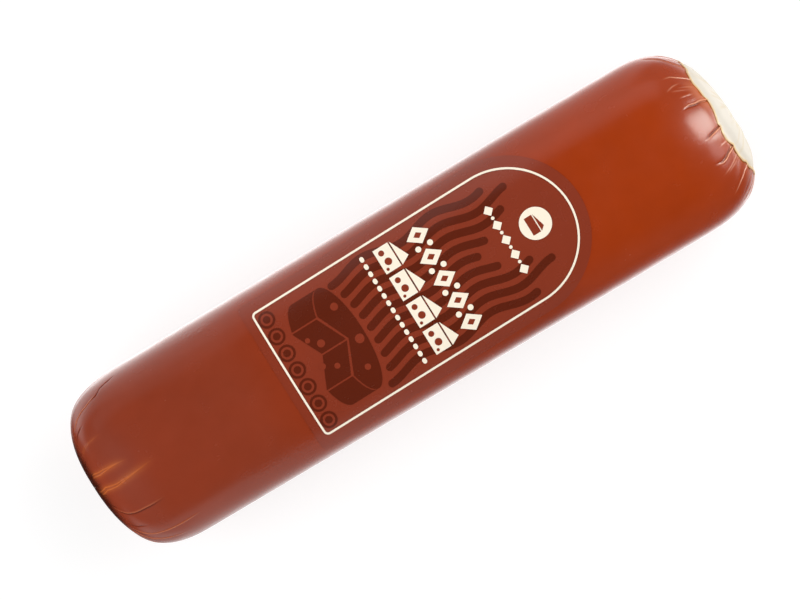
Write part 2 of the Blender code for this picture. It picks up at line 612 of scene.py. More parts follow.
@dataclass
class Nodes:
    """A node tree, with short calls to add and join nodes."""

    tree: bpy.types.NodeTree

    def feed(self, socket: bpy.types.NodeSocket, value: Feed) -> None:
        """Gives a socket a number, a colour or another socket's result.

        Args:
            socket: The input.
            value: What it gets.
        """
        if isinstance(value, bpy.types.NodeSocket):
            self.tree.links.new(value, socket)
        else:
            socket.default_value = (*value, 1.0) if isinstance(value, tuple) else value

    def add(
        self, kind: str, inputs: dict[str | int, Feed] | None = None, **settings: object
    ) -> bpy.types.Node:
        """Adds a node.

        Args:
            kind: The node's class name without its ShaderNode start.
            inputs: What its sockets get, by their name or number.
            settings: Values for the node's own properties.

        Returns:
            The new node.
        """
        node = self.tree.nodes.new("ShaderNode" + kind)
        for name, value in settings.items():
            setattr(node, name, value)
        for key, value in (inputs or {}).items():
            self.feed(node.inputs[key], value)
        return node

    def object_place(self) -> bpy.types.NodeSocket:
        """The place on the object, in metres."""
        return self.add("TexCoord").outputs["Object"]

    def along(self, axis: str) -> bpy.types.NodeSocket:
        """The place on the object along X, Y or Z."""
        return self.add("SeparateXYZ", {0: self.object_place()}).outputs[axis]

    def attribute(self, name: str) -> bpy.types.NodeSocket:
        """A number kept on the mesh's vertices."""
        return self.add("Attribute", attribute_name=name).outputs["Fac"]

    def noise(self, scale: Feed, detail: float = 3.0, rough: float = 0.5) -> bpy.types.NodeSocket:
        """A noise on the object's own place.

        Args:
            scale: Waves per metre.
            detail: How many finer octaves it has.
            rough: How strong they are.

        Returns:
            The noise, about 0.5 on average.
        """
        inputs = {"Scale": scale, "Detail": detail, "Roughness": rough}
        return self.add("TexNoise", {**inputs, "Vector": self.object_place()}).outputs["Fac"]

    def remap(
        self, source: Feed, low: float, high: float, to_low: float, to_high: float
    ) -> bpy.types.NodeSocket:
        """Maps a value's range onto another, clamped.

        Args:
            source: The value.
            low: Its low end.
            high: Its high end.
            to_low: The result at the low end.
            to_high: The result at the high end.

        Returns:
            The mapped value.
        """
        inputs = {"Value": source, "From Min": low, "From Max": high}
        inputs |= {"To Min": to_low, "To Max": to_high}
        return self.add("MapRange", inputs, clamp=True).outputs["Result"]

    def blend(self, share: Feed, below: Feed, above: Feed) -> bpy.types.NodeSocket:
        """Mixes two colours.

        Args:
            share: How much of the second shows.
            below: The first colour.
            above: The second colour.

        Returns:
            The mixed colour.
        """
        inputs = {0: share, 6: below, 7: above}
        return self.add("Mix", inputs, data_type="RGBA", blend_type="MIX").outputs[2]

    def maths(self, operation: str, *values: Feed) -> bpy.types.NodeSocket:
        """One sum.

        Args:
            operation: The Math node's operation.
            values: What it works on, in order.

        Returns:
            The result.
        """
        return self.add("Math", dict(enumerate(values)), operation=operation).outputs[0]

    def ramp(self, share: Feed, stops: list[tuple[float, Colour]]) -> bpy.types.NodeSocket:
        """A colour that changes along a share.

        Args:
            share: A value from 0 to 1.
            stops: The places and colours of the ramp, in order.

        Returns:
            The colour.
        """
        node = self.add("ValToRGB", {"Fac": share})
        points = node.color_ramp.elements
        while len(points) < len(stops):
            points.new(0.5)
        for point, (place, colour) in zip(points, stops):
            point.position = place
            point.color = (*colour, 1.0)
        return node.outputs["Color"]


def mottle_group() -> bpy.types.NodeTree:
    """The group that casts soft clouds over a colour, made once.

    Returns:
        The group's tree, with the inputs Colour, Scale and Amount.
    """
    name = "soft_clouds"
    if name in bpy.data.node_groups:
        return bpy.data.node_groups[name]
    tree = bpy.data.node_groups.new(name, "ShaderNodeTree")
    for socket, way, kind in (
        ("Colour", "INPUT", "NodeSocketColor"),
        ("Scale", "INPUT", "NodeSocketFloat"),
        ("Amount", "INPUT", "NodeSocketFloat"),
        ("Colour", "OUTPUT", "NodeSocketColor"),
    ):
        tree.interface.new_socket(socket, in_out=way, socket_type=kind)
    nodes = Nodes(tree)
    given = tree.nodes.new("NodeGroupInput").outputs
    centred = nodes.maths("SUBTRACT", nodes.noise(given["Scale"], 4.0), 0.5)
    swing = nodes.maths("MULTIPLY", centred, given["Amount"])
    gain = nodes.maths("MULTIPLY_ADD", swing, 4.0, 1.0)
    tint = nodes.add("VectorMath", {0: given["Colour"], "Scale": gain}, operation="SCALE")
    nodes.feed(tree.nodes.new("NodeGroupOutput").inputs["Colour"], tint.outputs[0])
    return tree


class Sketch(Nodes):
    """A material in the making, with its Principled shader."""

    def __init__(self, name: str) -> None:
        """Starts a material of that name.

        Args:
            name: The material's name.
        """
        self.material = bpy.data.materials.new(name)
        self.material.use_nodes = True
        super().__init__(self.material.node_tree)
        self.shader = self.tree.nodes["Principled BSDF"]

    def set(self, name: str, value: Feed) -> None:
        """Feeds one of the shader's own sockets."""
        self.feed(self.shader.inputs[name], value)

    def mottle(self, colour: Feed, scale: float, amount: float) -> bpy.types.NodeSocket:
        """The colour with soft lighter and darker clouds, from the shared group.

        Args:
            colour: The colour to vary.
            scale: Clouds per metre.
            amount: How far the brightness moves either way, as a share.

        Returns:
            The varied colour.
        """
        inputs = {"Scale": scale, "Amount": amount, "Colour": colour}
        return self.add("Group", node_tree=mottle_group(), inputs=inputs).outputs["Colour"]

    def bump(self, height: Feed, distance: float, strength: float = 1.0) -> None:
        """Lets a height roughen the shader's normal.

        Args:
            height: The height, from 0 to 1.
            distance: What a height of 1 is in metres.
            strength: How strongly it acts.
        """
        inputs = {"Strength": strength, "Distance": distance, "Height": height}
        self.set("Normal", self.add("Bump", inputs).outputs["Normal"])


@dataclass(frozen=True)
class CasingFinish:
    """Glossy orange-brown smoked skin, with painted shade that darkens it to maroon-brown towards
    the closed end, and painted light and shade along its folds and at its closed tip.
    """

    painted_shade_closed_tone: Colour = srgb(141, 56, 32)
    painted_shade_middle_tone: Colour = srgb(147, 50, 14)
    open_tone: Colour = srgb(163, 56, 11)
    # Painted highlight along the ridges of the folds.
    painted_ridge_highlight: Colour = srgb(244, 168, 128)
    # Painted glow where light shines through lifted skin.
    painted_glow_tone: Colour = srgb(206, 108, 46)
    # Painted shade in the creases, where the skin is also doubled.
    painted_crease_shade: Colour = srgb(84, 24, 8)
    rim_tone: Colour = srgb(176, 96, 36)
    # Painted shade for the closed end's face, which turns away from the light.
    painted_tip_shade_tone: Colour = srgb(46, 15, 8)
    roughness: float = 0.25

    def build(self) -> bpy.types.Material:
        """Makes the material, which reads the attributes that the casing keeps.

        Returns:
            The material.
        """
        sketch = Sketch("casing_skin")
        # Painted shade: the skin darkens towards the closed end, where the light falls off along
        # the log.
        stops = [
            (0.0, self.painted_shade_closed_tone),
            (0.24, self.painted_shade_closed_tone),
            (0.34, self.painted_shade_middle_tone),
            (0.66, self.painted_shade_middle_tone),
            (0.80, self.open_tone),
            (1.0, self.open_tone),
        ]
        tone = sketch.ramp(sketch.remap(sketch.along("X"), -0.185, 0.185, 0.0, 1.0), stops)
        tone = sketch.mottle(tone, 22.0, 0.07)
        tone = sketch.mottle(tone, 120.0, 0.025)
        for name, above in (
            # Painted shade at the closed tip.
            ("painted_tip_shade", self.painted_tip_shade_tone),
            ("rim", self.rim_tone),
            # Painted shade in the creases, where the skin is also doubled.
            ("dark", self.painted_crease_shade),
            # Painted glow where light shines through lifted skin, and near the open rim.
            ("glow", self.painted_glow_tone),
            # Painted highlight along the ridges of the folds.
            ("pale", self.painted_ridge_highlight),
        ):
            tone = sketch.blend(sketch.attribute(name), tone, above)
        sketch.set("Base Color", tone)
        rough = sketch.remap(
            sketch.noise(90.0), 0.3, 0.7, self.roughness - 0.02, self.roughness + 0.03
        )
        sketch.set("Roughness", rough)
        sketch.set("IOR", 1.45)
        height = sketch.maths("MULTIPLY", sketch.noise(620.0), sketch.attribute("crinkle"))
        sketch.bump(height, 0.5 * MM, 0.6)
        return sketch.material


@dataclass(frozen=True)
class CheeseFinish:
    """Pale cheese at the open end, with faint streaks."""

    tone: Colour = srgb(224, 216, 203)
    streak: Colour = srgb(214, 196, 160)

    def build(self) -> bpy.types.Material:
        """Makes the material, which reads the attribute crease.

        Returns:
            The material.
        """
        sketch = Sketch("pale_cheese")
        tone = sketch.mottle(self.tone, 90.0, 0.03)
        sketch.set("Base Color", sketch.blend(sketch.attribute("crease"), tone, self.streak))
        sketch.set("Roughness", 0.6)
        sketch.set("Specular IOR Level", 0.2)
        sketch.bump(sketch.noise(700.0, 5.0, 0.6), 0.06 * MM, 0.6)
        return sketch.material


@dataclass(frozen=True)
class LipFinish:
    """The cream cut edge round the open end."""

    tone: Colour = srgb(228, 194, 142)

    def build(self) -> bpy.types.Material:
        """Makes the material.

        Returns:
            The material.
        """
        sketch = Sketch("cut_edge")
        sketch.set("Base Color", sketch.mottle(self.tone, 240.0, 0.08))
        sketch.set("Roughness", 0.42)
        sketch.bump(sketch.noise(900.0), 0.05 * MM, 0.5)
        return sketch.material


@dataclass(frozen=True)
class InkFinish:
    """One printing ink of the label."""

    name: str
    tone: Colour
    roughness: float = 0.26
    cloud: float = 0.03

    def build(self) -> bpy.types.Material:
        """Makes the material: the ink's colour and gloss, both slightly uneven.

        Returns:
            The material.
        """
        sketch = Sketch(self.name)
        sketch.set("Base Color", sketch.mottle(self.tone, 45.0, self.cloud))
        rough = sketch.remap(
            sketch.noise(160.0, 2.0), 0.3, 0.7, self.roughness - 0.01, self.roughness + 0.02
        )
        sketch.set("Roughness", rough)
        sketch.set("IOR", 1.45)
        return sketch.material


@dataclass(frozen=True)
class LogTube:
    """A tube as long as the log, cut into rings, which the casing and the cheese start from."""

    skin: LogSkin
    name: str
    rows: tuple[int, int, int]
    tip_hole: float
    columns: int = 240

    def cut(self) -> bpy.types.Object:
        """An open cylinder along X, cut into even rings, on the log's axis.

        Returns:
            The tube, open at both ends.
        """
        Bench.clear_selection()
        bpy.ops.mesh.primitive_cylinder_add(
            vertices=self.columns,
            radius=self.skin.radius,
            depth=self.skin.length,
            end_fill_type="NOTHING",
            location=(0, 0, self.skin.axis_height),
            rotation=(0, math.pi / 2, 0),
        )
        tube = bpy.context.object
        tube.name = self.name
        tube.data.name = self.name
        Bench.settle(tube)
        x = Bench.coordinates(tube.data)[:, 0]
        ends = Bench.edge_ends(tube.data)
        lengthwise = np.abs(x[ends[:, 0]] - x[ends[:, 1]]) > 0.5 * self.skin.length
        Bench.select_edges(tube.data, lengthwise)
        Bench.edit(tube, "EDGE")
        bpy.ops.mesh.subdivide(number_cuts=sum(self.rows) - 1)
        Bench.leave()
        return tube

    def places(
        self, tube: bpy.types.Object, ending: Callable[[np.ndarray], np.ndarray | float]
    ) -> tuple[np.ndarray, np.ndarray, np.ndarray]:
        """Where the rings of the cut tube belong on the skin, fine over the ends.

        Args:
            tube: The cut tube.
            ending: How far back from the open tip the last ring lies, at each turn.

        Returns:
            The side, the distance back from the tip and the turn of each point.
        """
        points = Bench.coordinates(tube.data)
        closed_rows, body_rows, open_rows = self.rows
        row = np.rint((points[:, 0] / self.skin.length + 0.5) * sum(self.rows))
        turn = np.arctan2(-points[:, 1], points[:, 2] - self.skin.axis_height)
        cap = self.skin.cap_back
        straight = self.skin.length - 2 * self.skin.cap_length
        closed = row <= closed_rows
        opened = row >= closed_rows + body_rows
        closed_back = self.tip_hole + (cap - self.tip_hole) * row / closed_rows
        share = (row - closed_rows - body_rows) / open_rows
        open_back = cap + (ending(turn) - cap) * share
        along = (row - closed_rows) / body_rows * straight
        left_half = along < 0.5 * straight
        body_back = cap + np.where(left_half, along, straight - along)
        back = np.where(closed, closed_back, np.where(opened, open_back, body_back))
        side = np.where(closed | (~opened & left_half), -1.0, 1.0)
        return side, back, turn

    def close_tip(self, tube: bpy.types.Object, end: LogEnd) -> None:
        """Draws the small ring round one tip together.

        Args:
            tube: The tube.
            end: The end to close.
        """
        points = Bench.coordinates(tube.data)
        near = np.hypot(points[:, 1], points[:, 2] - self.skin.axis_height) < 1.6 * self.tip_hole
        at_tip = (near & (points[:, 0] * end.value > 0))[Bench.edge_ends(tube.data)]
        Bench.select_edges(tube.data, at_tip.all(axis=1) & Bench.open_edges(tube.data))
        Bench.edit(tube, "EDGE")
        bpy.ops.mesh.extrude_region_move()
        bpy.ops.mesh.merge(type="CENTER")
        Bench.leave()

    def finish(self, tube: bpy.types.Object, *materials: bpy.types.Material) -> None:
        """Presses the shaped tube to the log's form, smooths it and gives it its materials.

        Args:
            tube: The tube.
            materials: Its materials, in order.
        """
        Bench.move(tube.data, self.skin.settle(Bench.coordinates(tube.data)))
        Bench.face_outwards(tube)
        tube.data.shade_smooth()
        for material in materials:
            tube.data.materials.append(material)


@dataclass
class CreasedCasing:
    """The brown skin: one tube, closed at -X, with real folds and a scalloped rim at +X."""

    skin: LogSkin
    folds: list[Fold]
    rows: tuple[int, int, int] = (44, 26, 28)
    tip_hole: float = 1.2 * MM
    cuts: tuple[tuple[float, float], ...] = ((2.4 * MM, 0.0), (1.3 * MM, 0.0), (0.8 * MM, 60 * MM))
    pleat_pairs: int = 11
    pleat_depth: float = 0.7 * MM
    full_pinch: float = 0.24 * MM
    full_closed: float = 0.4 * MM
    full_open: float = 0.36 * MM
    rim: tuple[tuple[float, float], ...] = (
        (-180, 34.5), (-120, 35.4), (-88, 36.6), (-75, 36.2), (-66, 35.8), (-57, 35.5),
        (-50, 36.9), (-39, 38.2), (-35, 38.5), (-28, 37.6), (-21, 37.4), (-17.5, 36.2),
        (-12, 36.4), (-6, 37.3), (-1, 38.6), (4, 40.2), (6.5, 39.4), (11, 40.9), (17, 41.2),
        (21, 40.3), (24.5, 38.8), (29, 39.7), (35, 39.6), (42, 38.8), (47, 37.0), (54, 37.0),
        (66, 35.0), (82, 35.4), (110, 34.2), (150, 35.6), (180, 34.5),
    )

    def rim_back(self, turn: np.ndarray) -> np.ndarray:
        """How far from the tip the skin ends, with a small scallop at each fold.

        Args:
            turn: Turn in radians.

        Returns:
            The distance back from the tip.
        """
        degrees = np.degrees(turn)
        places = np.array([angle for angle, _ in self.rim])
        backs = np.array([back for _, back in self.rim]) * MM
        rim = np.interp(degrees, places, backs)
        for fold in self.folds:
            if fold.end is LogEnd.OPEN and abs(fold.path[0][1]) > 70:
                away = (degrees - fold.path[0][1] + 180) % 360 - 180
                rim = rim - 0.7 * MM * np.exp(-((away / 2.6) ** 2))
        return rim

    def nearness(self, points: np.ndarray) -> np.ndarray:
        """Each point's distance from the nearest crease.

        Args:
            points: One row of x, y, z for each point.

        Returns:
            The distances.
        """
        side, back, turn = self.skin.locate(points)
        radius = np.hypot(points[:, 1], points[:, 2] - self.skin.axis_height)
        nearest = np.full(len(points), 1.0)
        for fold in self.folds:
            away, strength, gap = fold.across(side, back, turn, radius)
            spare = gap if fold.form is FoldForm.PINCH else 0.0
            distance = np.maximum(np.abs(away) - spare, 0.0)
            nearest = np.minimum(nearest, np.where(strength > 0.02, distance, 1.0))
        return nearest

    def refine(self, tube: bpy.types.Object, reach: float, lowest: float) -> None:
        """Cuts the faces near the creases finer.

        Args:
            tube: The casing.
            reach: How far from a crease faces are cut.
            lowest: The height from which faces are cut.
        """
        centres = Bench.face_centres(tube.data)
        near = (self.nearness(centres) < reach) & (centres[:, 2] > lowest)
        Bench.select_faces(tube.data, near)
        Bench.edit(tube, "FACE")
        bpy.ops.mesh.subdivide(number_cuts=1)
        Bench.leave()

    def pleats(self, side: np.ndarray, back: np.ndarray, turn: np.ndarray) -> np.ndarray:
        """Shallow pleats that run together on the closed end's face.

        Args:
            side: The sign of each point's end.
            back: Distance back from the tip.
            turn: Turn in radians.

        Returns:
            The height over the smooth skin.
        """
        strength = smooth_step(3 * MM, 12 * MM, back) * smooth_step(36 * MM, 22 * MM, back)
        wave = np.abs(np.sin(self.pleat_pairs * turn + 0.8 * np.sin(3 * turn)))
        return np.where(side < 0, -self.pleat_depth * strength * (1 - wave) ** 3, 0.0)

    def sculpt(self, tube: bpy.types.Object) -> None:
        """Raises the folds and keeps what the finish needs on the vertices.

        Args:
            tube: The casing.
        """
        points = Bench.coordinates(tube.data)
        side, back, turn = self.skin.locate(points)
        radius = np.hypot(points[:, 1], points[:, 2] - self.skin.axis_height)
        relief = self.pleats(side, back, turn)
        pale = np.zeros(len(points))
        glow = np.zeros(len(points))
        dark = np.zeros(len(points))
        for fold in self.folds:
            away, strength, gap = fold.across(side, back, turn, radius)
            height, painted_glint, shadow = fold.profile(away, strength, gap)
            relief = relief + height
            # Painted shade beside the creases, where the skin is also doubled.
            dark = np.maximum(dark, shadow)
            # Painted light along the folds: pinches get a painted glow, the closed end's folds a
            # weaker glow, the open end's ridges a painted highlight.
            if fold.form is FoldForm.PINCH:
                glow = np.maximum(glow, min(1.0, fold.height / self.full_pinch) * painted_glint)
            elif fold.end is LogEnd.CLOSED:
                share = min(1.0, fold.height / self.full_closed)
                glow = np.maximum(glow, 0.6 * share * painted_glint)
                pale = np.maximum(pale, 0.26 * share * painted_glint)
            else:
                pale = np.maximum(pale, min(1.0, fold.height / self.full_open) * painted_glint)
        to_rim = back - self.rim_back(turn)
        degrees = np.degrees(turn)
        # Painted glow of light through the skin near the open rim, strongest towards +Y.
        painted_rim_glow = 0.15 + 0.6 * smooth_step(-40, -29, degrees) * smooth_step(-5, -14, degrees)
        painted_rim_glow = painted_rim_glow * np.where(side > 0, smooth_step(9 * MM, 1 * MM, to_rim), 0.0)
        glow = np.maximum(glow, painted_rim_glow)
        rim = np.where(side > 0, smooth_step(1.3 * MM, 0.2 * MM, to_rim), 0.0)
        # Painted shade: the closed end's face darkens towards its tip, where it turns away from the
        # light.
        painted_tip_shade = np.where(side < 0, smooth_step(34 * MM, 22 * MM, back), 0.0)
        for name, share, values in (
            ("pale", 0.74, pale),
            ("glow", 0.72, glow),
            ("dark", 0.8, dark),
            ("rim", 0.8, rim),
            ("painted_tip_shade", 0.85, painted_tip_shade),
        ):
            Bench.note(tube.data, name, share * values)
        Bench.note(tube.data, "crinkle", self.crinkled(points[:, 0], degrees))
        Bench.move(tube.data, self.skin.point(side, back, turn, relief))

    def crinkled(self, x: np.ndarray, degrees: np.ndarray) -> np.ndarray:
        """Where the skin is finely crinkled, beside the label's base, from 0 to 1.

        Args:
            x: Place along the log.
            degrees: Turn in degrees.

        Returns:
            The amount at each point.
        """
        amount = np.full(len(x), 0.015)
        for start, end, angle, spread in ((-112, -66, 50, 6), (-106, -90, -60, 6)):
            lengthwise = smooth_step(start - 8, start + 4, x / MM)
            lengthwise = lengthwise * smooth_step(end + 8, end - 4, x / MM)
            amount = amount + lengthwise * np.exp(-(((degrees - angle) / spread) ** 2))
        return amount

    def add_lip(self, tube: bpy.types.Object) -> None:
        """Rolls a thin cream cut edge out of the rim and turns it under.

        Args:
            tube: The casing.
        """
        profile = (
            (0.02, 0.02, 0), (0.10, 0.16, 1), (0.42, 0.32, 1), (0.85, 0.32, 1), (1.20, 0.16, 1),
            (1.40, -0.12, 1), (1.35, -0.60, 1), (0.90, -0.90, 1), (-1.6, -0.85, 1),
        )
        mesh = tube.data
        points = Bench.coordinates(mesh)
        right = points[Bench.edge_ends(mesh)[:, 0], 0] > 0
        Bench.select_edges(mesh, Bench.open_edges(mesh) & right)
        for onward, height, slot in profile:
            before = len(mesh.polygons)
            Bench.edit(tube, "EDGE")
            bpy.ops.mesh.extrude_region_move()
            Bench.leave()
            mesh = tube.data
            chosen = np.empty(len(mesh.vertices), dtype=bool)
            mesh.vertices.foreach_get("select", chosen)
            points = Bench.coordinates(mesh)
            edge = points[chosen]
            turn = np.arctan2(-edge[:, 1], edge[:, 2] - self.skin.axis_height)
            ones = np.ones(len(edge))
            back = self.rim_back(turn) - onward * MM
            points[chosen] = self.skin.point(ones, back, turn, height * MM)
            Bench.move(mesh, points)
            for face in mesh.polygons[before:]:
                face.material_index = slot

    def build(self) -> bpy.types.Object:
        """Makes the whole casing.

        Returns:
            The finished object, dressed and riding on the root body.
        """
        blank = LogTube(self.skin, "creased_casing", self.rows, self.tip_hole)
        tube = blank.cut()
        side, back, turn = blank.places(tube, self.rim_back)
        Bench.move(tube.data, self.skin.point(side, back, turn, 0.0))
        blank.close_tip(tube, LogEnd.CLOSED)
        for reach, lowest in self.cuts:
            self.refine(tube, reach, lowest)
        self.sculpt(tube)
        self.add_lip(tube)
        blank.finish(tube, CasingFinish().build(), LipFinish().build())
        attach(tube, "root")
        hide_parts("casing")
        return tube


@dataclass
class CheeseCore:
    """The pale cheese: plain where the casing covers it, streaked and domed at the open end."""

    skin: LogSkin
    rim_back: float = 35 * MM
    rows: tuple[int, int, int] = (12, 6, 70)
    inset: float = 1.5 * MM
    tip_hole: float = 0.7 * MM
    streaks: int = 46
    bulges: int = 7
    bulge_height: float = 0.1 * MM
    seed: int = 23

    def relief(self, back: np.ndarray, turn: np.ndarray) -> tuple[np.ndarray, np.ndarray]:
        """The dome's low folds and bulge.

        Args:
            back: Distance back from the open end's tip.
            turn: Turn in radians.

        Returns:
            The height over the smooth skin, and how much of a crease each point is in.
        """
        draw = random.Random(self.seed)
        height = -self.inset * smooth_step(self.rim_back - 4 * MM, self.rim_back + 1 * MM, back)
        crease = np.zeros_like(back)
        for _ in range(self.streaks):
            angle = draw.uniform(-math.pi, math.pi)
            near, far = draw.uniform(4, 16) * MM, draw.uniform(24, 38) * MM
            width = draw.uniform(0.35, 0.9) * MM
            sway = draw.uniform(-0.12, 0.12)
            away = (turn - angle - sway * back / far + math.pi) % (2 * math.pi) - math.pi
            strength = smooth_step(near, near + 8 * MM, back) * smooth_step(far, far - 6 * MM, back)
            line = strength * np.exp(-((away * np.maximum(back, MM) / width) ** 2))
            depth = draw.uniform(-0.22, 0.12) * MM
            height = height + depth * line
            crease = np.maximum(crease, line * (0.8 if depth < 0 else 0.25))
        for _ in range(self.bulges):
            angle, around = draw.uniform(0, 6.28), draw.choice((2, 3, 5, 7))
            length = draw.uniform(14, 40) * MM
            fade = smooth_step(3 * MM, 12 * MM, back)
            height = height + self.bulge_height * fade * np.sin(
                around * turn + angle + 2 * math.pi * back / length
            )
        return height, crease

    def build(self) -> bpy.types.Object:
        """Makes the whole cheese.

        Returns:
            The finished object, dressed and riding on the root body.
        """
        blank = LogTube(self.skin, "cheese_core", self.rows, self.tip_hole)
        core = blank.cut()
        side, back, turn = blank.places(core, lambda turn: self.tip_hole)
        height, crease = self.relief(back, turn)
        height = np.where(side > 0, height, -self.inset)
        Bench.move(core.data, self.skin.point(side, back, turn, height))
        Bench.note(core.data, "crease", 0.7 * np.where(side > 0, crease, 0.0))
        for end in LogEnd:
            blank.close_tip(core, end)
        blank.finish(core, CheeseFinish().build())
        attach(core, "root")
        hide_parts("cheese")
        return core


class Shapes:
    """Outlines in the label's plan: u runs towards its round top, v to the reader's right."""

    @staticmethod
    def row(count: int, pitch: float) -> list[float]:
        """Evenly spaced places across the label; the pitch is in millimetres."""
        return [(k - (count - 1) / 2) * pitch * MM for k in range(count)]

    @staticmethod
    def disc(u: float, v: float, radius: float, count: int = 40) -> Outline:
        """A circle.

        Args:
            u: Its middle along the label.
            v: Its middle across.
            radius: Its radius.
            count: Points round it.

        Returns:
            The outline.
        """
        step = 2 * math.pi / count
        return [
            (u + radius * math.cos(step * k), v + radius * math.sin(step * k)) for k in range(count)
        ]

    @staticmethod
    def lozenge(u: float, v: float, tall: float, wide: float) -> Outline:
        """A diamond standing on its point."""
        return [(u - tall / 2, v), (u, v + wide / 2), (u + tall / 2, v), (u, v - wide / 2)]

    @staticmethod
    def pill(u: float, v: float, tall: float, wide: float, count: int = 8) -> Outline:
        """A bar with round ends, lying across or standing along the label.

        Args:
            u: Its middle along the label.
            v: Its middle across.
            tall: Its size along the label.
            wide: Its size across.
            count: Steps round each corner.

        Returns:
            The outline.
        """
        radius = min(tall, wide) / 2
        reach_u, reach_v = tall / 2 - radius, wide / 2 - radius
        points = []
        for corner, (sign_u, sign_v) in enumerate(((1, 1), (-1, 1), (-1, -1), (1, -1))):
            for k in range(count + 1):
                angle = math.pi / 2 * (corner + k / count)
                points.append(
                    (
                        u + sign_u * reach_u + radius * math.cos(angle),
                        v + sign_v * reach_v + radius * math.sin(angle),
                    )
                )
        return points

    @staticmethod
    def arch(base: float, centre: float, half: float, corner: float, count: int = 72) -> Outline:
        """A panel with a straight base, rounded base corners and a half-round top.

        Args:
            base: Where the base lies along u.
            centre: Where the half-round top starts.
            half: Half the panel's width, and the top's radius.
            corner: Radius of the base corners.
            count: Points round the top.

        Returns:
            The outline, right round.
        """
        points = [
            (centre + half * math.sin(math.pi * k / count), half * math.cos(math.pi * k / count))
            for k in range(count + 1)
        ]
        for start, sign in ((0.0, -1.0), (math.pi / 2, 1.0)):
            for k in range(9):
                angle = start + math.pi / 2 * k / 8
                inset = corner * (1 + sign * math.cos(angle))
                points.append((base + corner * (1 - math.sin(angle)), sign * (half - inset)))
        return points

    @staticmethod
    def band(line: Outline, width: float, count: int = 8) -> Outline:
        """A band of even width that follows a line.

        Args:
            line: The line to follow.
            width: The band's width.
            count: Steps round each of its round ends.

        Returns:
            The outline: up its left side, round the end and back.
        """
        points = []
        for way in (line, line[::-1]):
            for k, (u, v) in enumerate(way[1:], 1):
                after = way[min(k + 1, len(way) - 1)]
                heading = math.atan2(after[1] - way[k - 1][1], after[0] - way[k - 1][0])
                steps = count if k == len(way) - 1 else 0
                for step in range(steps + 1):
                    angle = heading + math.pi * (0.5 - step / count)
                    points.append(
                        (u + width / 2 * math.cos(angle), v + width / 2 * math.sin(angle))
                    )
        return points

    @staticmethod
    def slice(u: float, v: float, tall: float, wide: float, gap: float) -> list[Outline]:
        """A slice of cheese seen from its cut side: the side, and the top that runs to a point.

        Args:
            u: Its middle along the label.
            v: Its middle across.
            tall: Its height.
            wide: Its width.
            gap: The space between the side and the top.

        Returns:
            The two outlines.
        """
        low, high, left, right = u - tall / 2, u + tall / 2, v - wide / 2, v + wide / 2
        shelf = low + 0.6 * tall
        side = [(low, left), (low, right), (shelf, right), (shelf, left)]
        return [side, [(shelf + gap, left), (shelf + gap, right), (high, v + 0.3 * wide)]]


@dataclass
class PrintLayer:
    """One ink of the label: flat shapes cut in plan and bent round the log."""

    skin: LogSkin
    name: str
    outlines: list[Outline]
    lift: float
    finish: InkFinish
    thickness: float = 0.06 * MM
    line_width: float = 0.0
    slant: float = math.radians(1.24)
    centre: tuple[float, float] = (0.0, 0.25 * MM)
    step_across: float = 1.3 * MM
    step_along: float = 6 * MM

    def cut(self) -> bpy.types.Object:
        """Lays every outline out flat, in one mesh, as thin lines where a line width is given.

        Returns:
            The flat layer.
        """
        parts = []
        for outline in self.outlines:
            Bench.clear_selection()
            bpy.ops.mesh.primitive_circle_add(
                vertices=len(outline), radius=1.0, fill_type="NGON", location=(0, 0, 0)
            )
            part = bpy.context.object
            flat = np.array([(u, -v, 0.0) for u, v in outline])
            Bench.move(part.data, flat)
            parts.append(part)
        Bench.clear_selection()
        for part in parts:
            part.select_set(True)
        bpy.context.view_layer.objects.active = parts[0]
        if len(parts) > 1:
            bpy.ops.object.join()
        layer = bpy.context.object
        layer.name = self.name
        layer.data.name = self.name
        Bench.edit(layer, "FACE")
        bpy.ops.mesh.select_all(action="SELECT")
        if self.line_width:
            bpy.ops.mesh.inset(thickness=self.line_width, depth=0, use_individual=True)
            bpy.ops.mesh.delete(type="FACE")
            bpy.ops.mesh.select_all(action="SELECT")
        bpy.ops.mesh.quads_convert_to_tris(quad_method="BEAUTY", ngon_method="BEAUTY")
        Bench.leave()
        return layer

    def slice(self, layer: bpy.types.Object) -> None:
        """Cuts the flat shapes into narrow strips, so that they can bend.

        Args:
            layer: The flat layer.
        """
        points = Bench.coordinates(layer.data)
        for axis, step in ((1, self.step_across), (0, self.step_along)):
            low, high = points[:, axis].min(), points[:, axis].max()
            normal = (1, 0, 0) if axis == 0 else (0, 1, 0)
            place = math.ceil(low / step) * step
            while place < high:
                Bench.edit(layer, "FACE")
                bpy.ops.mesh.select_all(action="SELECT")
                spot = [0.0, 0.0, 0.0]
                spot[axis] = place
                bpy.ops.mesh.bisect(plane_co=spot, plane_no=normal)
                Bench.leave()
                place += step

    def bend(self, layer: bpy.types.Object) -> None:
        """Lays the flat shapes on the log, at the label's slant.

        Args:
            layer: The flat layer.
        """
        points = Bench.coordinates(layer.data)
        cos, sin = math.cos(self.slant), math.sin(self.slant)
        x = points[:, 0] * cos - points[:, 1] * sin + self.centre[0]
        y = points[:, 0] * sin + points[:, 1] * cos + self.centre[1]
        z = self.skin.height_over(x, y, self.lift)
        Bench.move(layer.data, np.stack((x, y, z), axis=-1))

    def build(self) -> bpy.types.Object:
        """Makes the layer.

        Returns:
            The finished object, dressed and riding on the root body.
        """
        layer = self.cut()
        self.slice(layer)
        self.bend(layer)
        Bench.face_outwards(layer)
        normals = np.empty(len(layer.data.polygons) * 3)
        layer.data.polygons.foreach_get("normal", normals)
        if normals.reshape(-1, 3)[:, 2].sum() < 0:
            layer.data.flip_normals()
        film = layer.modifiers.new("film", "SOLIDIFY")
        film.thickness = self.thickness
        film.offset = -1
        Bench.apply(layer, "film")
        Bench.take(layer)
        bpy.ops.object.shade_smooth_by_angle(angle=math.radians(40))
        layer.data.materials.append(self.finish.build())
        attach(layer, "root")
        return layer


